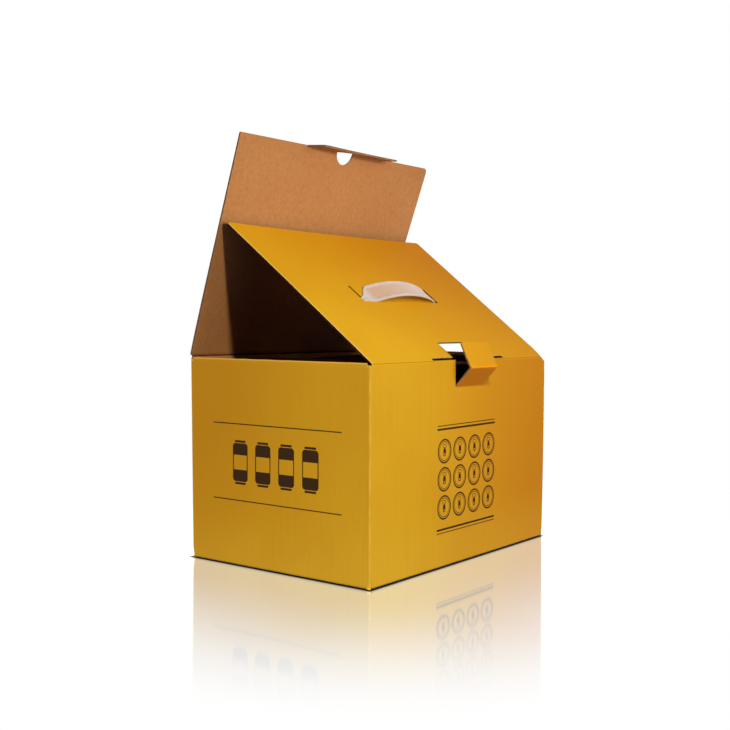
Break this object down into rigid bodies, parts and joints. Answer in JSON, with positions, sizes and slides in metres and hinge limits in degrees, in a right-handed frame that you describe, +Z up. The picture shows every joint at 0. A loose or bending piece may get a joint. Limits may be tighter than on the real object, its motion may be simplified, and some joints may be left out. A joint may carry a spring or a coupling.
{
  "type": "carry carton for drink cans",
  "caption": "Printed corrugated carry carton for drink cans, standing with its inner lid half raised and outer lid open, with a plastic strap handle and a popped-out lock tongue.",
  "frame": {"origin": "middle of the carton's base, on the surface that it stands on", "axes": "+Z up; +X along the front wall, to the right as seen from the front; -Y out of the front wall, where the inner lid hinges; +Y out of the back wall, where the outer lid hinges"},
  "size_m": [0.292, 0.2222, 0.3831],
  "materials": {
    "printed_board": "printed yellow outside with a light varnish, brown kraft inside",
    "handle_plastic": "milky, slightly translucent"
  },
  "bodies": {
    "carton": {"carton_body": "printed_board"},
    "inner_lid": {"front_lid": "printed_board", "carry_handle": "handle_plastic"},
    "outer_lid": {"back_lid": "printed_board"}
  },
  "joints": [
    {"name": "front_lid_hinge", "type": "hinge", "parent": "carton", "child": "inner_lid", "pos_m": [0, -0.103, 0.1831], "axis": [1, 0, 0], "range_deg": [-35, 203]},
    {"name": "back_lid_hinge", "type": "hinge", "parent": "carton", "child": "outer_lid", "pos_m": [0, 0.103, 0.1849], "axis": [-1, 0, 0], "range_deg": [0, 160]}
  ]
}
